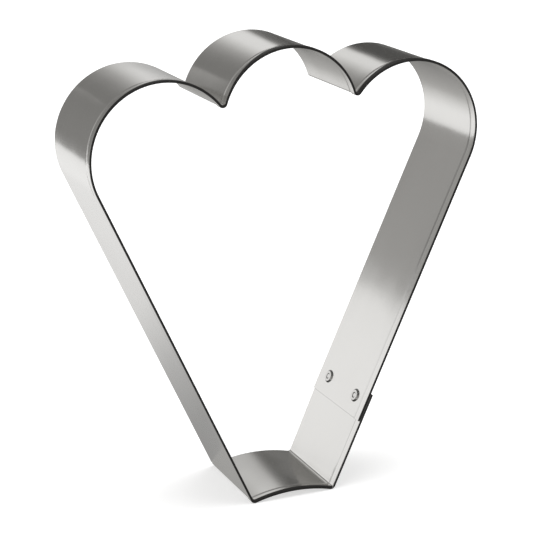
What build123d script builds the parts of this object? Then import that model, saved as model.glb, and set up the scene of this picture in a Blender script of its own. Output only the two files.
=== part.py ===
from build123d import *

import os
from math import atan2, cos, pi, sin

# Cookie cutter bent from one strip of tin-plated steel. It stands on its foot, as on a shelf: X runs across
# it, Z up, and Y through it, from the folded hem in front to the bare cutting edge behind. The origin is on
# the ground under its middle. All lengths are in millimetres.

# The strip
strip_width = 25.4  # from the hem's fold to the cutting edge
sheet = 0.28
hem_height = 2.0  # from the fold to the raw edge of the leg that is folded back
hem_gap = 0.04  # left between the two legs
fold_flats = 4  # that stand for the fold's half round
joggle_length = 0.9  # over which the wall steps from the hem's inner leg to the hem's middle
joggle_radius = 1.0

# The outline that the strip is bent to, measured on the middle of the hem
foot_width = 20.1
foot_arch = 1.5  # rise of the arch that dents the foot
shoulder_width = 91.7  # between the tops of the straight sides
shoulder_height = 78.2
cusp_spacing = 32.3
cusp_rise = 16.35  # of the sharp cusps above the shoulders
middle_rise = 13.0  # of the middle lobe above the sharp cusps
cusp_bend = 0.75
corner_bend = 0.9

# The lap on the right side, measured up that side from the foot
inner_end_height = 17.8  # where the strip starts, inside
lap_length = 7.0  # from there up to where it ends, outside
lap_clearance = 0.02
lap_lead = 0.8  # by which the outer wall is home before it meets the inner end

# Rivets with a domed head outside and a pressed end inside, which is flat with a dimple in its middle
rivet_end_margin = 2.3  # from their middles down from the strip's outer end
rivet_spacing = 14.5
rivet_row_middle = 13.2  # from the hem's fold
shank_radius = 0.95
shank_clearance = 0.04
head_radius = 1.75
head_height = 0.55
head_rim = 0.15
end_radius = 1.65
end_height = 0.4
end_flat_radius = 1.3
end_bend = 0.12
dimple_radius = 0.55
dimple_depth = 0.15

# Worked out from the sizes above
hem_half = sheet + hem_gap / 2
stack = 2 * hem_half + lap_clearance  # from the middle of one hem to the middle of the hem outside it
wall_stack = sheet + lap_clearance  # the same for the two walls, which touch
side_angle = atan2((shoulder_width - foot_width) / 2, shoulder_height)
cusp_height = shoulder_height + cusp_rise
outer_end_height = inner_end_height + lap_length
rivet_height = outer_end_height - rivet_end_margin
grip = wall_stack + sheet


def along_side(distance, out=0):
    """Point on the flat outline at a distance up the right side, and out from it."""
    return Vector(
        foot_width / 2 + distance * sin(side_angle) + out * cos(side_angle),
        distance * cos(side_angle) - out * sin(side_angle),
    )


# The outline, drawn flat in the order in which the strip runs: from its inner end up the right side, over
# the three lobes, down the left side, under the foot and round the last corner, outside its own start
right_shoulder = Vector(shoulder_width / 2, shoulder_height)
left_shoulder = Vector(-shoulder_width / 2, shoulder_height)
right_cusp = Vector(cusp_spacing / 2, cusp_height)
left_cusp = Vector(-cusp_spacing / 2, cusp_height)
apex = Vector(0, cusp_height + middle_rise)
left_corner = Vector(-foot_width / 2, 0)
right_corner = Vector(foot_width / 2 + stack / cos(side_angle), 0)
bend_end = 2 * corner_bend  # up the side from the corner, past its bend

with BuildLine() as outline:
    Line(along_side(inner_end_height), right_shoulder)
    TangentArc(right_shoulder, right_cusp, tangent=(sin(side_angle), cos(side_angle)))
    ThreePointArc(right_cusp, apex, left_cusp)
    TangentArc(left_shoulder, left_cusp, tangent=(-sin(side_angle), cos(side_angle)))
    Line(left_shoulder, left_corner)
    SagittaArc(left_corner, right_corner, foot_arch)
    Line(right_corner, along_side(bend_end, out=stack))
    fillet(outline.vertices().group_by(Axis.Y)[-1], cusp_bend)
    fillet(outline.vertices().group_by(Axis.Y)[0], corner_bend)

# The outline stands upright in the plane of the hem's fold, at the height that puts the foot on the ground
ground_clearance = hem_half - outline.line.bounding_box().min.Y
fold_plane = Plane(
    origin=(0, -strip_width / 2, ground_clearance), x_dir=(1, 0, 0), z_dir=(0, -1, 0)
)
strip_path = fold_plane.from_local_coords(outline.wires()[0])
side_up = Vector(sin(side_angle), 0, cos(side_angle))
side_out = Vector(cos(side_angle), 0, -sin(side_angle))


def across_strip(distance, out=0):
    """Plane across the strip at a distance up the right side: x outward, y from the fold to the edge."""
    return Plane(
        origin=fold_plane.from_local_coords(along_side(distance, out)), x_dir=side_out, z_dir=side_up
    )


def fold_point(turn):
    """Point of the fold's half round, at a turn from its outer to its inner side."""
    return Vector(hem_half * cos(turn), hem_half - hem_half * sin(turn))


def strip_section(wall_out=0):
    """Section across the strip, its hem at the bottom; wall_out shifts the wall from the hem's middle."""
    inner_face = wall_out - sheet / 2
    with BuildSketch() as section:
        with BuildLine() as wall:
            FilletPolyline(
                (-hem_half, hem_half),
                (-hem_half, hem_height),
                (inner_face, hem_height + joggle_length),
                (inner_face, strip_width),
                radius=joggle_radius,
            )
            offset(wall.line, amount=sheet, side=Side.RIGHT)
        make_face()
        with Locations((hem_half, hem_half)):
            Rectangle(sheet, hem_height - hem_half, align=(Align.MAX, Align.MIN))
        with BuildLine():
            Polyline([fold_point(flat * pi / fold_flats) for flat in range(fold_flats + 1)], close=True)
        make_face()
    return section.sketch


# Each rivet's seat is a point of the inner wall's inside face; the plane there looks outward
rivet_plane = Plane(
    origin=fold_plane.from_local_coords(along_side(rivet_height, out=-sheet / 2))
    + Vector(0, rivet_row_middle, 0),
    x_dir=(0, 1, 0),
    z_dir=side_out,
)
rivet_places = {
    "hem_side_rivet": Vector(-rivet_spacing / 2, 0),
    "edge_side_rivet": Vector(rivet_spacing / 2, 0),
}

# The band: the strip swept round the outline, then the stretch over which its outer wall leans in to the
# lap, then the lap itself, and the rivet holes through both walls
wall_pull = wall_stack - stack
lap_start = inner_end_height - lap_lead
with BuildPart() as cutter_band:
    with BuildSketch(across_strip(inner_end_height)):
        add(strip_section())
    sweep(path=strip_path)
    with BuildSketch(across_strip(bend_end, out=stack)):
        add(strip_section())
    with BuildSketch(across_strip(lap_start, out=stack)):
        add(strip_section(wall_out=wall_pull))
    loft(ruled=True)
    with BuildSketch(across_strip(lap_start, out=stack)):
        add(strip_section(wall_out=wall_pull))
    extrude(amount=outer_end_height - lap_start)
    with BuildSketch(rivet_plane):
        with Locations(*rivet_places.values()):
            Circle(shank_radius + shank_clearance)
    extrude(amount=grip + sheet, both=True, mode=Mode.SUBTRACT)
cutter_band.part.label = "cutter_band"

# The rivets: revolved half sections, x from the axis, y from the seat outward
rivets = {}
for name, place in rivet_places.items():
    seat = rivet_plane.from_local_coords(place)
    with BuildPart() as rivet:
        with BuildSketch(Plane(origin=seat, x_dir=(0, 1, 0), z_dir=-side_up)):
            with BuildLine():
                FilletPolyline(
                    (0, dimple_depth - end_height),
                    (dimple_radius, dimple_depth - end_height),
                    (dimple_radius + dimple_depth, -end_height),
                    (end_flat_radius, -end_height),
                    (end_radius, 0),
                    radius=end_bend,
                )
                Polyline(
                    (end_radius, 0),
                    (shank_radius, 0),
                    (shank_radius, grip),
                    (head_radius, grip),
                    (head_radius, grip + head_rim),
                )
                TangentArc(
                    (0, grip + head_height), (head_radius, grip + head_rim), tangent=(1, 0)
                )
                Line((0, grip + head_height), (0, dimple_depth - end_height))
            make_face()
        revolve(axis=Axis(seat, side_out))
    rivet.part.label = name
    rivets[name] = rivet.part

os.makedirs("parts", exist_ok=True)
export_step(cutter_band.part, "parts/cutter_band.step")
for name, part in rivets.items():
    export_step(part, f"parts/{name}.step")

size = cutter_band.part.bounding_box().size
print(f"band {size.X:.2f} x {size.Y:.2f} x {size.Z:.2f}, strip {strip_path.length:.1f} round the outline")
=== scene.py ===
from math import asin, atan2, ceil, cos, degrees, pi, radians, sin, tan

import bpy
from mathutils import Euler, Matrix, Vector


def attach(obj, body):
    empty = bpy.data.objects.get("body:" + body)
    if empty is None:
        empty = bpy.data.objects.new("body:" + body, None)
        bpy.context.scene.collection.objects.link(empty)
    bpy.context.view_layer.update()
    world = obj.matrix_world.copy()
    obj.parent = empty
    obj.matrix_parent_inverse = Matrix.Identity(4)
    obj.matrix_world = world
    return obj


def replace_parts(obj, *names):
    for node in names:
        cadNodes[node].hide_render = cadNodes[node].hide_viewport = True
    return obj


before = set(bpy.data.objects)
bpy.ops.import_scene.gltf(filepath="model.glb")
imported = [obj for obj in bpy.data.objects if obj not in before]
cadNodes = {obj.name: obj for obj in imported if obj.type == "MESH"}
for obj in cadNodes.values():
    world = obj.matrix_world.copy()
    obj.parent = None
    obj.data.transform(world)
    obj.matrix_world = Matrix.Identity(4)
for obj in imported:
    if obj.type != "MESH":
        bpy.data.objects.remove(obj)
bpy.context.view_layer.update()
bpy.ops.object.select_all(action="DESELECT")
mm = 0.001
print("packed frame loaded")

# Camera at the photograph's angle
cameraSetup = {
    "place": (-0.164555, -0.376180, 0.177359),
    "turnedRight": 23.511,  # degrees from straight through the cutter
    "tiltedDown": 16.769,
    "roll": -0.333,
    "lens": 123.12,
    "sensor": 36,
}
bpy.ops.object.camera_add(location=cameraSetup["place"])
camera = bpy.context.object
camera.name = "photoCamera"
camera.data.lens = cameraSetup["lens"]
camera.data.sensor_width = cameraSetup["sensor"]
level = radians(90 - cameraSetup["tiltedDown"])
aim = Euler((level, 0, radians(-cameraSetup["turnedRight"]))).to_matrix()
roll = Matrix.Rotation(radians(cameraSetup["roll"]), 3, "Z")
camera.rotation_euler = (aim @ roll).to_euler()
bpy.context.scene.camera = camera
print("camera placed")


def pickObject(piece):
    bpy.ops.object.select_all(action="DESELECT")
    piece.select_set(True)
    bpy.context.view_layer.objects.active = piece


def startVertex(place):
    # one loose vertex, left selected in edit mode
    bpy.ops.mesh.primitive_plane_add(size=mm, location=place)
    bpy.ops.object.mode_set(mode="EDIT")
    bpy.ops.mesh.select_all(action="SELECT")
    bpy.ops.mesh.merge(type="CENTER")


def extrudeBy(run, steps=1):
    for step in range(steps):
        bpy.ops.mesh.extrude_region_move(TRANSFORM_OT_translate={"value": Vector(run) / steps})


def spinRound(centre, axis, turn, steps):
    bpy.ops.mesh.spin(steps=steps, angle=turn, center=centre, axis=axis)


def applyModifier(piece, kind, **settings):
    modifier = piece.modifiers.new(kind.lower(), kind)
    for name, value in settings.items():
        setattr(modifier, name, value)
    pickObject(piece)
    bpy.ops.object.modifier_apply(modifier=modifier.name)


def settleAtOrigin(piece):
    pickObject(piece)
    bpy.ops.object.transform_apply(location=True, rotation=True, scale=True)


# The strip, in millimetres: the same sizes as the solid's
strip = {
    "width": 25.4,  # from the hem's fold to the cutting edge
    "sheet": 0.28,
    "hemHeight": 2.0,
    "hemGap": 0.04,
    "joggleLength": 0.9,
    "joggleBend": 1.0,
    "footWidth": 20.1,
    "footArch": 1.5,
    "shoulderWidth": 91.7,
    "shoulderHeight": 78.2,
    "cuspSpacing": 32.3,
    "cuspRise": 16.35,
    "middleRise": 13.0,
    "cuspBend": 0.75,
    "cornerBend": 0.9,
    "innerEnd": 17.8,  # up the right side, where the strip starts inside
    "lapLength": 7.0,
    "lapClearance": 0.02,
    "lapLead": 0.8,  # the outer wall is home this far before it meets the inner end
    "legRows": 3,  # rows of faces up each leg of the hem
    "foldRows": 10,
    "joggleRows": 2,  # in each of its two bends
    "wallRows": 8,
    "edgeRow": 0.15,  # a narrow last row, which keeps the wall flat up to its rounded edge
    "lobeStep": 2.5,  # degrees of a lobe to one row of faces
    "bendStep": 9,
    "sideStep": 4.0,  # of a straight side, in mm
    "edgeRound": 0.1,
    "edgeSegments": 2,
    "edgeAngle": 60,  # degrees; only sharper edges are rounded
    "fit": 0.9998,  # keeps the finer curves inside the solid's box
}

hemHalf = strip["sheet"] + strip["hemGap"] / 2
legOut = hemHalf - strip["sheet"] / 2  # the middle of each leg of the hem, from the hem's own middle
hemStack = 2 * hemHalf + strip["lapClearance"]
wallStack = strip["sheet"] + strip["lapClearance"]
lean = atan2((strip["shoulderWidth"] - strip["footWidth"]) / 2, strip["shoulderHeight"])
pastCorner = 2 * strip["cornerBend"]  # up the right side, clear of the foot's corner
lapHome = strip["innerEnd"] - strip["lapLead"]
outerEnd = strip["innerEnd"] + strip["lapLength"]
sideUp, sideOut = Vector((sin(lean), cos(lean))), Vector((cos(lean), -sin(lean)))
mirrored = Vector((-1, 1))


def upSide(distance, out=0):
    return Vector((strip["footWidth"] / 2, 0)) + distance * sideUp + out * sideOut


def heading(fromPoint, toPoint):
    return atan2(toPoint.y - fromPoint.y, toPoint.x - fromPoint.x)


def whereLineMeetsCircle(start, along, centre, radius):
    across = start - centre
    half = across.dot(along)
    return start + along * ((half * half - across.length_squared + radius * radius) ** 0.5 - half)


def whereCirclesMeet(centreA, radiusA, centreB, radiusB):
    # the upper one of the two places; B is up and to the left of A
    apart = centreB - centreA
    share = (radiusA**2 - radiusB**2 + apart.length_squared) / (2 * apart.length)
    unit = apart.normalized()
    return centreA + unit * share + Vector((unit.y, -unit.x)) * (radiusA**2 - share**2) ** 0.5


# Middles of the outline's arcs, flat
rightShoulder = Vector((strip["shoulderWidth"] / 2, strip["shoulderHeight"]))
rightCusp = Vector((strip["cuspSpacing"] / 2, strip["shoulderHeight"] + strip["cuspRise"]))
toShoulder = rightShoulder - rightCusp
lobeRadius = toShoulder.length_squared / (2 * toShoulder.dot(sideOut))
middleRadius = (rightCusp.x**2 + strip["middleRise"] ** 2) / (2 * strip["middleRise"])
footChord = strip["footWidth"] + hemStack / cos(lean)
footRadius = (footChord**2 / 4 + strip["footArch"] ** 2) / (2 * strip["footArch"])
rightLobe = rightShoulder - lobeRadius * sideOut
topLobe = Vector((0, rightCusp.y + strip["middleRise"] - middleRadius))
rightNotch = whereCirclesMeet(
    rightLobe, lobeRadius + strip["cuspBend"], topLobe, middleRadius + strip["cuspBend"]
)
footBelow = Vector(((footChord - strip["footWidth"]) / 2, strip["footArch"] - footRadius))
cornerReach = footRadius + strip["cornerBend"]
rightCorner = whereLineMeetsCircle(
    upSide(0, out=hemStack - strip["cornerBend"]), sideUp, footBelow, cornerReach
)
leftCorner = whereLineMeetsCircle(
    upSide(0, out=-strip["cornerBend"]) * mirrored, sideUp * mirrored, footBelow, cornerReach
)
groundRise = hemHalf + strip["cornerBend"] - leftCorner.y


def stood(flat, depth=0):
    # a flat point of the outline, stood up at a depth from the hem's fold
    return Vector((flat.x, depth - strip["width"] / 2, flat.y + groundRise)) * mm


def drawStripSection():
    # from the raw edge of the leg that is folded back, round the fold and up the wall
    def at(out, depth):
        return stood(upSide(strip["innerEnd"], out), depth)

    slope = atan2(legOut, strip["joggleLength"])
    bend = strip["joggleBend"]
    lead = bend * tan(slope / 2)
    joggleEnd = strip["hemHeight"] + strip["joggleLength"]
    stripAxis = (sideUp.x, 0, sideUp.y)
    firstBend = at(-legOut, strip["hemHeight"] - lead)
    firstBendEnd = at(-legOut + lead * sin(slope), strip["hemHeight"] + lead * cos(slope))
    secondBend = at(-lead * sin(slope), joggleEnd - lead * cos(slope))
    wallStart = at(0, joggleEnd + lead)
    lastRow = at(0, strip["width"] - strip["edgeRow"])
    legRows, joggleRows = strip["legRows"], strip["joggleRows"]

    startVertex(at(legOut, strip["hemHeight"]))
    extrudeBy(at(legOut, hemHalf) - at(legOut, strip["hemHeight"]), legRows)
    spinRound(at(0, hemHalf), stripAxis, pi, strip["foldRows"])
    extrudeBy(firstBend - at(-legOut, hemHalf), legRows)
    spinRound(at(bend - legOut, strip["hemHeight"] - lead), stripAxis, slope, joggleRows)
    extrudeBy(secondBend - firstBendEnd)
    spinRound(at(-bend, joggleEnd + lead), stripAxis, -slope, joggleRows)
    extrudeBy(lastRow - wallStart, strip["wallRows"])
    extrudeBy(at(0, strip["width"]) - lastRow)
    bpy.ops.mesh.select_all(action="SELECT")


def bendStrip(centre, fromHeading, toHeading, leftward, stepDegrees):
    # spins the selected row round an arc, leftward (with the outline) or back to the right
    if leftward:
        turn = (toHeading - fromHeading) % (2 * pi)
    else:
        turn = -((fromHeading - toHeading) % (2 * pi))
    spinRound(stood(centre), (0, 1, 0), turn, max(2, ceil(abs(degrees(turn)) / stepDegrees)))


def runStrip(fromPoint, toPoint):
    run = stood(toPoint) - stood(fromPoint)
    extrudeBy(run, steps=ceil(run.length / mm / strip["sideStep"]))


def runStripRoundOutline():
    leftNotch, leftLobe = rightNotch * mirrored, rightLobe * mirrored
    leftOut = heading(Vector((0, 0)), sideOut * mirrored)
    leftCornerStart = leftCorner + strip["cornerBend"] * sideOut * mirrored
    outerStart = rightCorner + strip["cornerBend"] * sideOut
    outerStops = [upSide(height, hemStack) for height in (pastCorner, lapHome, outerEnd)]
    lobeStep, bendStep = strip["lobeStep"], strip["bendStep"]

    def bendBetween(before, centre, after, leftward, step):
        # round the arc between the places where it touches the arcs before and after it
        bendStrip(centre, heading(centre, before), heading(centre, after), leftward, step)

    runStrip(upSide(strip["innerEnd"]), rightShoulder)
    bendStrip(rightLobe, -lean, heading(rightLobe, rightNotch), True, lobeStep)
    bendBetween(rightLobe, rightNotch, topLobe, False, bendStep)
    bendBetween(rightNotch, topLobe, leftNotch, True, lobeStep)
    bendBetween(topLobe, leftNotch, leftLobe, False, bendStep)
    bendStrip(leftLobe, heading(leftLobe, leftNotch), leftOut, True, lobeStep)
    runStrip(rightShoulder * mirrored, leftCornerStart)
    bendStrip(leftCorner, leftOut, heading(leftCorner, footBelow), True, bendStep)
    bendBetween(leftCorner, footBelow, rightCorner, False, lobeStep / 2)
    bendStrip(rightCorner, heading(rightCorner, footBelow), -lean, True, bendStep)
    for fromPoint, toPoint in zip([outerStart, *outerStops], outerStops):
        runStrip(fromPoint, toPoint)


def leanOuterWallIn(piece):
    # above the corner the outer wall leans in, past its hem, until it lies on the inner wall
    start = stood(upSide(0))
    up, out = Vector((sideUp.x, 0, sideUp.y)), Vector((sideOut.x, 0, sideOut.y))
    outerHem = hemStack - 1.5 * legOut  # between the inner hem and all of the outer one
    for vertex in piece.data.vertices:
        place = (piece.matrix_world @ vertex.co - start) / mm
        if place.dot(out) < outerHem or place.dot(up) < pastCorner:
            continue
        alongLean = min(1, (place.dot(up) - pastCorner) / (lapHome - pastCorner))
        upJoggle = min(1, max(0, (place.y - strip["hemHeight"]) / strip["joggleLength"]))
        vertex.co += out * (wallStack - hemStack) * alongLean * upJoggle * mm


def makeStrip():
    drawStripSection()
    runStripRoundOutline()
    bpy.ops.mesh.select_all(action="SELECT")
    bpy.ops.mesh.normals_make_consistent(inside=False)
    bpy.ops.object.mode_set(mode="OBJECT")
    piece = bpy.context.object
    piece.name = piece.data.name = "cutterStrip"
    leanOuterWallIn(piece)
    settleAtOrigin(piece)
    applyModifier(piece, "SOLIDIFY", thickness=strip["sheet"] * mm, offset=0, use_even_offset=True)
    return piece


cutterStrip = makeStrip()
print("strip bent round the outline:", len(cutterStrip.data.polygons), "faces")

# The rivets, in millimetres
rivet = {
    "fromOuterEnd": 2.3,  # down the side
    "spacing": 14.5,
    "rowMiddle": 13.2,  # from the hem's fold
    "shankRadius": 0.95,
    "shankClearance": 0.04,
    "headRadius": 1.75,
    "headHeight": 0.55,
    "headRim": 0.15,
    "endRadius": 1.65,  # the pressed end, inside the cutter
    "endHeight": 0.4,
    "endFlatRadius": 1.3,
    "dimpleRadius": 0.55,
    "dimpleDepth": 0.15,
    "roundRows": 64,
    "domeRows": 8,
    "edgeRound": 0.1,
    "edgeSegments": 3,
    "edgeAngle": 25,
    "weld": 0.002,
}
smoothAngle = 32  # degrees between faces that are shaded as one
grip = wallStack + strip["sheet"]
rivetAxis = Vector((sideOut.x, 0, sideOut.y))
sideAxis = Vector((sideUp.x, 0, sideUp.y))
hemSideDepth = rivet["rowMiddle"] - rivet["spacing"] / 2
hemSideSeat = stood(upSide(outerEnd - rivet["fromOuterEnd"], -strip["sheet"] / 2), hemSideDepth)


def roundEdges(piece, sizes):
    applyModifier(
        piece,
        "BEVEL",
        width=sizes["edgeRound"] * mm,
        segments=sizes["edgeSegments"],
        limit_method="ANGLE",
        angle_limit=radians(sizes["edgeAngle"]),
    )


def punchHoles(piece):
    # two round holes through both walls of the lap
    for place in (0, rivet["spacing"]):
        bpy.ops.mesh.primitive_cylinder_add(
            vertices=rivet["roundRows"],
            radius=(rivet["shankRadius"] + rivet["shankClearance"]) * mm,
            depth=4 * grip * mm,
            location=hemSideSeat + Vector((0, place, 0)) * mm,
            rotation=rivetAxis.to_track_quat("Z", "Y").to_euler(),
        )
        punch = bpy.context.object
        applyModifier(piece, "BOOLEAN", object=punch, operation="DIFFERENCE", solver="EXACT")
        bpy.data.objects.remove(punch)


def makeRivet():
    # half of the rivet's section, spun round its middle
    def at(out, along):
        return hemSideSeat + (Vector((0, out, 0)) + rivetAxis * along) * mm

    dome = rivet["headHeight"] - rivet["headRim"]
    domeBend = (rivet["headRadius"] ** 2 + dome**2) / (2 * dome)
    dimpleFloor = rivet["dimpleDepth"] - rivet["endHeight"]
    corners = [
        (0, dimpleFloor),
        (rivet["dimpleRadius"], dimpleFloor),
        (rivet["dimpleRadius"] + rivet["dimpleDepth"], -rivet["endHeight"]),
        (rivet["endFlatRadius"], -rivet["endHeight"]),
        (rivet["endRadius"], 0),
        (rivet["shankRadius"], 0),
        (rivet["shankRadius"], grip),
        (rivet["headRadius"], grip),
        (rivet["headRadius"], grip + rivet["headRim"]),
    ]
    startVertex(at(*corners[0]))
    for here, there in zip(corners, corners[1:]):
        extrudeBy(at(*there) - at(*here))
    domeMiddle = at(0, grip + rivet["headHeight"] - domeBend)
    spinRound(domeMiddle, sideAxis, asin(rivet["headRadius"] / domeBend), rivet["domeRows"])
    bpy.ops.mesh.select_all(action="SELECT")
    spinRound(hemSideSeat, rivetAxis, 2 * pi, rivet["roundRows"])
    bpy.ops.mesh.select_all(action="SELECT")
    bpy.ops.mesh.remove_doubles(threshold=rivet["weld"] * mm)
    bpy.ops.mesh.normals_make_consistent(inside=False)
    bpy.ops.object.mode_set(mode="OBJECT")
    piece = bpy.context.object
    piece.name = piece.data.name = "hemSideRivet"
    settleAtOrigin(piece)
    roundEdges(piece, rivet)
    return piece


punchHoles(cutterStrip)
roundEdges(cutterStrip, strip)
hemSideRivet = makeRivet()
edgeSideRivet = hemSideRivet.copy()
edgeSideRivet.data = hemSideRivet.data.copy()
edgeSideRivet.name = edgeSideRivet.data.name = "edgeSideRivet"
bpy.context.collection.objects.link(edgeSideRivet)
pickObject(edgeSideRivet)
bpy.ops.transform.translate(value=(0, rivet["spacing"] * mm, 0))
settleAtOrigin(edgeSideRivet)
for piece in (cutterStrip, hemSideRivet, edgeSideRivet):
    piece.scale = (strip["fit"],) * 3
    settleAtOrigin(piece)
    bpy.ops.object.shade_smooth_by_angle(angle=radians(smoothAngle))
    applyModifier(piece, "WEIGHTED_NORMAL", keep_sharp=True)
print("rivets set in the lap:", len(hemSideRivet.data.polygons), "faces each")

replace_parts(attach(cutterStrip, "root"), "cutter_band")
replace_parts(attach(hemSideRivet, "root"), "hem_side_rivet")
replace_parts(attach(edgeSideRivet, "root"), "edge_side_rivet")


# Finishes
def newFinish(name, metallic, roughness, colour):
    finish = bpy.data.materials.new(name)
    finish.use_nodes = True
    shader = finish.node_tree.nodes["Principled BSDF"]
    shader.inputs["Metallic"].default_value = metallic
    shader.inputs["Roughness"].default_value = roughness
    shader.inputs["Base Color"].default_value = (*colour, 1)
    return finish, finish.node_tree, shader


def addNode(tree, kind, **settings):
    node = tree.nodes.new(kind)
    for name, value in settings.items():
        if name in node.inputs:
            node.inputs[name].default_value = value
        else:
            setattr(node, name, value)
    return node


def feed(tree, socket, term):
    # gives a socket another node's result, a colour or a number
    if isinstance(term, bpy.types.NodeSocket):
        tree.links.new(term, socket)
    else:
        socket.default_value = (*term, 1) if isinstance(term, tuple) else term


def reckon(tree, operation, *terms):
    node = addNode(tree, "ShaderNodeMath", operation=operation)
    for socket, term in zip(node.inputs, terms):
        feed(tree, socket, term)
    return node.outputs["Value"]


def times(tree, product, *factors):
    for factor in factors:
        product = reckon(tree, "MULTIPLY", product, factor)
    return product


def fade(tree, value, start, end, into=(0.0, 1.0)):
    # from one result to the other, while the value goes from start to end
    node = tree.nodes.new("ShaderNodeMapRange")
    node.inputs["From Min"].default_value, node.inputs["From Max"].default_value = start, end
    node.inputs["To Min"].default_value, node.inputs["To Max"].default_value = into
    tree.links.new(value, node.inputs["Value"])
    return node.outputs["Result"]


def mixOf(tree, kind, share, first, second):
    mix = addNode(tree, "ShaderNodeMix", data_type=kind)
    feed(tree, mix.inputs["A"], first)
    feed(tree, mix.inputs["B"], second)
    tree.links.new(share, mix.inputs["Factor"])
    return mix.outputs["Result"]


def noiseOver(tree, place, scale, detail, roughness):
    noise = addNode(tree, "ShaderNodeTexNoise", Scale=scale, Detail=detail, Roughness=roughness)
    tree.links.new(place, noise.inputs["Vector"])
    return noise.outputs["Fac"]


def bumpBy(tree, height, strength, distance, under=None):
    bump = addNode(tree, "ShaderNodeBump", Strength=strength, Distance=distance)
    tree.links.new(height, bump.inputs["Height"])
    if under:
        tree.links.new(under, bump.inputs["Normal"])
    return bump.outputs["Normal"]


def partsOf(tree, vector):
    parts = tree.nodes.new("ShaderNodeSeparateXYZ")
    tree.links.new(vector, parts.inputs["Vector"])
    return parts.outputs["X"], parts.outputs["Y"], parts.outputs["Z"]


def lineAt(tree, value, middle, half, strength):
    away = reckon(tree, "ABSOLUTE", reckon(tree, "SUBTRACT", value, middle))
    return times(tree, fade(tree, away, half, 0.0), strength)


# A noise is a scale, a detail and a roughness; a bump is a strength and a height in metres; a line is a
# place, a half width, both in mm, and a strength. A face looks left or up by the X and Z of its normal.
tinplate = {
    "colour": (0.75, 0.741, 0.722),
    "duller": (0.72, 0.711, 0.692),
    "clouds": (55.0, 2.0, 0.5),  # the noise that goes from one to the other
    "plainRoughness": 0.22,  # where the grain isn't shown
    "roughness": (0.15, 0.2),
    "grainScale": (120, 3500, 120),  # draws the grain out along the strip
    "grain": (1.0, 3.0, 0.6),
    "grainSpan": (0.3, 0.7),  # the grain's values that give the first and the second roughness
    "grainBump": (0.05, 0.000004),
    "waves": (60.0, 1.0, 0.4),  # of hand-bent sheet
    "waveBump": (0.5, 0.0005),
    "middleHeight": 0.06,  # of the cutter, m, which tells outside from inside
    "step": (2.35, 3.15),  # outside, behind the raw edge: mm from the fold
    "stepBump": (1.0, 0.00016),
    "fold": (0.024, 0.023, 0.022),  # painted shade and painted reflection: the hem's fold near black, not a colour of the tin
    "foldRoughness": 0.5,
    "foldSpecular": 0.15,
    "foldReach": 1.06,  # mm from the hem's front to which the painted shade goes
    "foldEdge": 0.03,  # mm either way over which it ends
    "foldUp": 0.14,  # by how much further on faces that look up
    "foldSides": 0.906,  # and less far on the upright stretches
    "foldLitSide": 0.15,  # and less again on their faces to the left
    "foldUpLeft": 0.9,  # and much further on faces that look up to the left
    "looksLeft": (0.1, -0.3),
    "looksUp": (0.2, 0.6),
    "upLeftFrom": (-0.016, -0.006),  # m across the cutter; not left of these places
    "betweenHems": (0.1, 0.6),  # where the painted fold shade is left out: a paler line midway between the two hems of the lap
    "creaseShade": (2.15, 0.14, 0.34),  # painted shade: grey line behind the hem's raw edge, where its step shades the wall; placed from the fold
    "seamShade": (-0.12, 0.13, 0.28),  # the same painted shade at the strip's inner end, on the inside faces, up the side from it
    "seamFaces": (0.1, -0.1),  # inside
}


def alongRightSide(tree, x, z, way):
    # how far a place is from the foot of the right side, in mm, measured up that side or out from it
    start = stood(upSide(0)) / mm
    fromZ = reckon(tree, "MULTIPLY_ADD", z, way.y / mm, -start.x * way.x - start.z * way.y)
    return reckon(tree, "MULTIPLY_ADD", x, way.x / mm, fromZ)


def outsideFaces(tree, x, z, facesX, facesZ):
    # 1 where a face looks away from the middle of the cutter
    fromMiddle = reckon(tree, "SUBTRACT", z, tinplate["middleHeight"])
    outward = reckon(tree, "MULTIPLY_ADD", facesX, x, times(tree, facesZ, fromMiddle))
    return reckon(tree, "GREATER_THAN", outward, 0.0)


def reachOfFoldShade(tree, x, facesX, facesZ, outside):
    # how far the painted shade and reflection go from the hem's front, by the way that a face looks
    litSide = reckon(tree, "MULTIPLY_ADD", facesX, tinplate["foldLitSide"], tinplate["foldReach"])
    upper = reckon(tree, "MULTIPLY_ADD", facesZ, tinplate["foldUp"], litSide)
    looksUpLeft = times(
        tree,
        fade(tree, facesX, *tinplate["looksLeft"]),
        fade(tree, facesZ, *tinplate["looksUp"]),
        fade(tree, x, *tinplate["upLeftFrom"]),
        outside,
    )
    upLeft = reckon(tree, "MULTIPLY_ADD", looksUpLeft, tinplate["foldUpLeft"], upper)
    sideways = reckon(tree, "ABSOLUTE", facesX)
    return reckon(tree, "MULTIPLY_ADD", sideways, -tinplate["foldSides"], upLeft)


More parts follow.
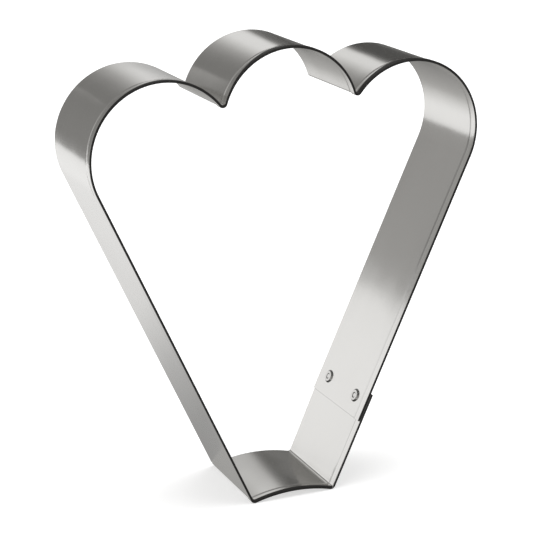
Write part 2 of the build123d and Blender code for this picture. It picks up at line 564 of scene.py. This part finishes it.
def satinTinplate():
    finish, tree, shader = newFinish(
        "satinTinplate", 1, tinplate["plainRoughness"], tinplate["colour"]
    )
    texture = tree.nodes.new("ShaderNodeTexCoord")
    place = texture.outputs["Object"]
    x, y, z = partsOf(tree, place)
    facesX, _, facesZ = partsOf(tree, texture.outputs["Normal"])
    fromFold = reckon(tree, "MULTIPLY_ADD", y, 1 / mm, strip["width"] / 2)
    up, out = (alongRightSide(tree, x, z, way) for way in (sideUp, sideOut))
    outside = outsideFaces(tree, x, z, facesX, facesZ)
    drawnOut = addNode(tree, "ShaderNodeMapping", Scale=tinplate["grainScale"])
    tree.links.new(place, drawnOut.inputs["Vector"])
    grain = noiseOver(tree, drawnOut.outputs["Vector"], *tinplate["grain"])

    # painted shade and reflection on the hem's fold, left out in a paler line between the lap's two
    # hems
    reach = reachOfFoldShade(tree, x, facesX, facesZ, outside)
    past = reckon(tree, "SUBTRACT", fromFold, reach)
    wholeFoldShade = fade(tree, past, tinplate["foldEdge"], -tinplate["foldEdge"])
    betweenHems = lineAt(tree, out, hemStack / 2, *tinplate["betweenHems"])
    inLap = reckon(tree, "LESS_THAN", up, outerEnd)
    parted = times(tree, betweenHems, inLap)
    fold = times(tree, wholeFoldShade, reckon(tree, "SUBTRACT", 1.0, parted))

    # painted shade: grey lines behind the hem's raw edge and at the strip's inner end
    creaseShade = lineAt(tree, fromFold, *tinplate["creaseShade"])
    fromInnerEnd = reckon(tree, "SUBTRACT", up, strip["innerEnd"])
    seamShadeLine = lineAt(tree, fromInnerEnd, *tinplate["seamShade"])
    onRight = reckon(tree, "GREATER_THAN", x, 0.0)
    seamShade = times(tree, seamShadeLine, onRight, fade(tree, facesX, *tinplate["seamFaces"]))
    dark = reckon(tree, "MAXIMUM", fold, reckon(tree, "MAXIMUM", creaseShade, seamShade))

    clouds = noiseOver(tree, place, *tinplate["clouds"])
    tint = mixOf(tree, "RGBA", clouds, tinplate["colour"], tinplate["duller"])
    # painted shade: the fold, crease and seam lines darken the base colour; on the fold the tin is also
    # made non-metallic
    colour = mixOf(tree, "RGBA", dark, tint, tinplate["fold"])
    tree.links.new(colour, shader.inputs["Base Color"])
    tree.links.new(reckon(tree, "SUBTRACT", 1.0, fold), shader.inputs["Metallic"])
    shader.inputs["Specular IOR Level"].default_value = tinplate["foldSpecular"]

    satin = fade(tree, grain, *tinplate["grainSpan"], into=tinplate["roughness"])
    roughness = mixOf(tree, "FLOAT", fold, satin, tinplate["foldRoughness"])
    tree.links.new(roughness, shader.inputs["Roughness"])

    # the step behind the hem's raw edge, slow waves, and the rolled grain
    step = times(tree, fade(tree, fromFold, *tinplate["step"]), outside)
    stepped = bumpBy(tree, step, *tinplate["stepBump"])
    waves = noiseOver(tree, place, *tinplate["waves"])
    wavy = bumpBy(tree, waves, *tinplate["waveBump"], under=stepped)
    rolled = bumpBy(tree, grain, *tinplate["grainBump"], under=wavy)
    tree.links.new(rolled, shader.inputs["Normal"])
    return finish


rivetSteel = {
    "colour": (0.74, 0.732, 0.715),
    "duller": (0.64, 0.632, 0.615),
    "specks": (1800.0, 3.0, 0.6),  # the noise that goes from one to the other
    "speckSpan": (0.3, 0.7),
    "speckBump": (0.06, 0.00001),
    "plainRoughness": 0.27,
    "roughness": (0.2, 0.3),
    "flankShade": (0.18, 0.18, 0.175),  # painted shade: darker sloping faces that look up or down the strip
    "flankSlope": (0.12, 0.45),
}


def tinnedRivetSteel():
    finish, tree, shader = newFinish(
        "tinnedRivetSteel", 1, rivetSteel["plainRoughness"], rivetSteel["colour"]
    )
    texture = tree.nodes.new("ShaderNodeTexCoord")
    specks = noiseOver(tree, texture.outputs["Object"], *rivetSteel["specks"])
    alongStrip = addNode(tree, "ShaderNodeVectorMath", operation="DOT_PRODUCT")
    alongStrip.inputs[1].default_value = sideAxis
    tree.links.new(texture.outputs["Normal"], alongStrip.inputs[0])
    slope = reckon(tree, "ABSOLUTE", alongStrip.outputs["Value"])
    # painted shade: the rivet's flanks that face up or down the strip are darkened
    flankShadeMask = fade(tree, slope, *rivetSteel["flankSlope"])

    tint = mixOf(tree, "RGBA", specks, rivetSteel["colour"], rivetSteel["duller"])
    colour = mixOf(tree, "RGBA", flankShadeMask, tint, rivetSteel["flankShade"])
    tree.links.new(colour, shader.inputs["Base Color"])
    satin = fade(tree, specks, *rivetSteel["speckSpan"], into=rivetSteel["roughness"])
    tree.links.new(satin, shader.inputs["Roughness"])
    pressed = bumpBy(tree, specks, *rivetSteel["speckBump"])
    tree.links.new(pressed, shader.inputs["Normal"])
    return finish


tinplateFinish, rivetFinish = satinTinplate(), tinnedRivetSteel()
for piece, finish in (
    (cutterStrip, tinplateFinish),
    (hemSideRivet, rivetFinish),
    (edgeSideRivet, rivetFinish),
    (cadNodes["cutter_band"], tinplateFinish),
    (cadNodes["hem_side_rivet"], rivetFinish),
    (cadNodes["edge_side_rivet"], rivetFinish),
):
    piece.data.materials.clear()
    piece.data.materials.append(finish)
print("finishes mixed")

# Studio: pale floor, soft lamp, and cards that only the metal sees
studio = {
    "floorSize": 8,
    "floorColour": (0.8, 0.8, 0.8),
    "floorRoughness": 0.9,
    "floorGlow": 0.52,
    "skyForLight": 0.5,
    "lampPlace": (-0.02, 0.05, 0.9),
    "lampSpread": 40,  # degrees, which sets how soft its shadow is
    "lampPower": 1.7,
    "cardTint": (1, 0.985, 0.95),  # of dim cards; bright ones are white
}


def seenOrMirrored(tree):
    # 1 for the camera and for what metal and glass show, 0 for the light on things
    path = tree.nodes.new("ShaderNodeLightPath")
    seen = reckon(tree, "MAXIMUM", path.outputs["Is Camera Ray"], path.outputs["Is Glossy Ray"])
    return reckon(tree, "MAXIMUM", seen, path.outputs["Is Transmission Ray"])


def paleFloor():
    bpy.ops.mesh.primitive_plane_add(size=studio["floorSize"])
    floor = bpy.context.object
    floor.name = "studioFloor"
    finish, tree, shader = newFinish(
        "paleFloor", 0, studio["floorRoughness"], studio["floorColour"]
    )
    shader.inputs["Specular IOR Level"].default_value = 0
    shader.inputs["Emission Color"].default_value = (1, 1, 1, 1)
    glow = times(tree, seenOrMirrored(tree), studio["floorGlow"])
    tree.links.new(glow, shader.inputs["Emission Strength"])
    floor.data.materials.append(finish)


def whiteWorld():
    world = bpy.data.worlds.new("whiteStudio")
    bpy.context.scene.world = world
    world.use_nodes = True
    tree = world.node_tree
    sky = tree.nodes["Background"]
    sky.inputs["Color"].default_value = (1, 1, 1, 1)
    strength = fade(tree, seenOrMirrored(tree), 0, 1, into=(studio["skyForLight"], 1))
    tree.links.new(strength, sky.inputs["Strength"])


def softLamp():
    bpy.ops.object.light_add(type="SUN", location=studio["lampPlace"])
    lamp = bpy.context.object
    lamp.name = "softLamp"
    lamp.data.angle = radians(studio["lampSpread"])
    lamp.data.energy = studio["lampPower"]
    lamp.rotation_euler = (-lamp.location).to_track_quat("-Z", "Y").to_euler()
    lamp.visible_glossy = False


# Each card: its middle, its width and height, the way it is turned (degrees), and its light from its
# left edge to its right one (place in metres, brightness). Cover says how much of it is there, from its
# lower edge to its upper one, and nearShade dims it the same way.
cards = {
    "greyBackdrop": {
        "middle": (0.0, 0.252, 0.40),
        "size": (1.6, 0.8),
        "turned": (90, 0, 0),
        "light": [(-0.15, 0.26), (-0.09, 0.22), (0.4, 0.2)],
    },
    "softStrip": {
        "middle": (0.015, 0.25, 0.31),
        "size": (0.21, 0.48),
        "turned": (90, 0, 0),
        "light": [(-0.09, 0.22), (-0.06, 0.23), (-0.03, 0.29), (0.0, 0.44), (0.03, 0.72),
                  (0.05, 0.87), (0.088, 0.87), (0.096, 0.66), (0.103, 0.24), (0.116, 0.1)],
        "cover": [(0.07, 0.35), (0.105, 0.45), (0.135, 0.55), (0.18, 1)],
    },
    "darkFlag": {
        "middle": (0.42, 0.249, 0.45),
        "size": (0.6, 0.7),
        "turned": (90, 0, 0),
        "light": [(0.2, 0.09)],
        "cover": [(0.10, 0.4), (0.13, 1)],
    },
    "lowWhiteCard": {
        "middle": (-0.07, 0.17, 0.0355),
        "size": (0.26, 0.071),
        "turned": (90, 0, 90),
        "light": [(0.0, 1.02)],
    },
    "paleSideCard": {
        "middle": (-0.0705, 0.2225, 0.1105),
        "size": (0.155, 0.079),
        "turned": (90, 0, 90),
        "light": [(0.0, 0.39)],
    },
    "lowBackdrop": {
        "middle": (0.0, 0.2515, 0.03),
        "size": (0.6, 0.06),
        "turned": (90, 0, 0),
        "light": [(-0.122, 0.28), (-0.104, 1.0), (-0.05, 1.0), (0.0, 0.6), (0.03, 0.38),
                  (0.06, 0.27), (0.09, 0.18)],
        "cover": [(0.045, 1), (0.06, 0)],
    },
    "footShade": {
        "middle": (-0.0355, -0.003, 0.0002),
        "size": (0.05, 0.034),
        "turned": (0, 0, 0),
        "light": [(-0.06, 0.9), (-0.03, 0.5), (-0.012, 0.4)],
    },
    "floorShade": {
        "middle": (0.0, 0.1325, 0.0002),
        "size": (0.48, 0.237),
        "turned": (0, 0, 0),
        "light": [(-0.075, 1.0), (-0.045, 0.9), (-0.015, 0.7), (0.005, 0.48), (0.03, 0.41),
                  (0.06, 0.34), (0.09, 0.29), (0.13, 0.2)],
        "nearShade": [(0.03, 0.52), (0.06, 0.68), (0.08, 0.86), (0.10, 1.0)],
    },
    # the next four are what the metal shows from behind and from the sides
    "frontBackdrop": {
        "middle": (0.0, -0.30, 0.40),
        "size": (1.6, 0.8),
        "turned": (90, 0, 0),
        "light": [(-0.4, 0.3), (-0.14, 0.2), (-0.05, 0.3), (0.02, 0.75), (0.07, 0.85),
                  (0.11, 0.3), (0.3, 0.2)],
    },
    "frontFloor": {
        "middle": (0.0, -0.143, 0.0001),
        "size": (0.7, 0.313),
        "turned": (0, 0, 0),
        "light": [(-0.3, 0.3), (-0.12, 0.6), (-0.05, 0.85), (-0.02, 0.4), (0.02, 0.3),
                  (0.06, 0.5), (0.1, 0.85), (0.16, 0.45), (0.3, 0.25)],
    },
    "rightSideCard": {
        "middle": (0.35, -0.03, 0.30),
        "size": (0.54, 0.6),
        "turned": (90, 0, 90),
        "light": [(-0.25, 0.3), (-0.08, 0.75), (-0.02, 0.7), (0.06, 0.3), (0.2, 0.22)],
    },
    "leftSideCard": {
        "middle": (-0.35, -0.03, 0.30),
        "size": (0.54, 0.6),
        "turned": (90, 0, 90),
        "light": [(-0.25, 0.25), (-0.06, 0.45), (0.02, 0.85), (0.08, 0.8), (0.2, 0.3)],
    },
}


def rampAlong(tree, value, stops, width, middle):
    # a colour ramp over a card's own -0.5..0.5, from stops that are given in metres
    ramp = tree.nodes.new("ShaderNodeValToRGB")
    tree.links.new(reckon(tree, "ADD", value, 0.5), ramp.inputs["Fac"])
    elements = ramp.color_ramp.elements
    elements.remove(elements[1])
    for index, (place, light) in enumerate(stops):
        position = min(1, max(0, (place - middle) / width + 0.5))
        stop = elements.new(position) if index else elements[0]
        stop.position = position
        bright = min(1, light)
        stop.color = (*(light * (tint + (1 - tint) * bright) for tint in studio["cardTint"]), 1)
    return ramp.outputs["Color"]


def hangCard(name, card):
    bpy.ops.mesh.primitive_plane_add(
        size=1, location=card["middle"], rotation=[radians(angle) for angle in card["turned"]]
    )
    sheet = bpy.context.object
    sheet.name = name
    sheet.scale = (*card["size"], 1)
    finish = bpy.data.materials.new(name)
    finish.use_nodes = True
    tree = finish.node_tree
    tree.nodes.remove(tree.nodes["Principled BSDF"])
    across, upwards, _ = partsOf(tree, tree.nodes.new("ShaderNodeTexCoord").outputs["Object"])
    width, height = card["size"]
    middleX, middleY, middleZ = card["middle"]
    middleAcross = middleY if card["turned"][2] else middleX
    middleUp = middleZ if card["turned"][0] else middleY

    glow = tree.nodes.new("ShaderNodeEmission")
    light = rampAlong(tree, across, card["light"], width, middleAcross)
    tree.links.new(light, glow.inputs["Color"])
    if "nearShade" in card:
        shade = rampAlong(tree, upwards, card["nearShade"], height, middleUp)
        tree.links.new(shade, glow.inputs["Strength"])
    covered = tree.nodes.new("ShaderNodeMixShader")
    clear = tree.nodes.new("ShaderNodeBsdfTransparent")
    cover = rampAlong(tree, upwards, card.get("cover", [(0, 1)]), height, middleUp)
    tree.links.new(cover, covered.inputs["Fac"])
    tree.links.new(clear.outputs["BSDF"], covered.inputs[1])
    tree.links.new(glow.outputs["Emission"], covered.inputs[2])
    tree.links.new(covered.outputs["Shader"], tree.nodes["Material Output"].inputs["Surface"])
    sheet.data.materials.append(finish)
    sheet.visible_camera = sheet.visible_diffuse = sheet.visible_shadow = False


paleFloor()
whiteWorld()
softLamp()
for name, card in cards.items():
    hangCard(name, card)
bpy.context.scene.view_settings.view_transform = "Standard"
print("studio lit")

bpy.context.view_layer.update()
bpy.ops.object.select_all(action="DESELECT")
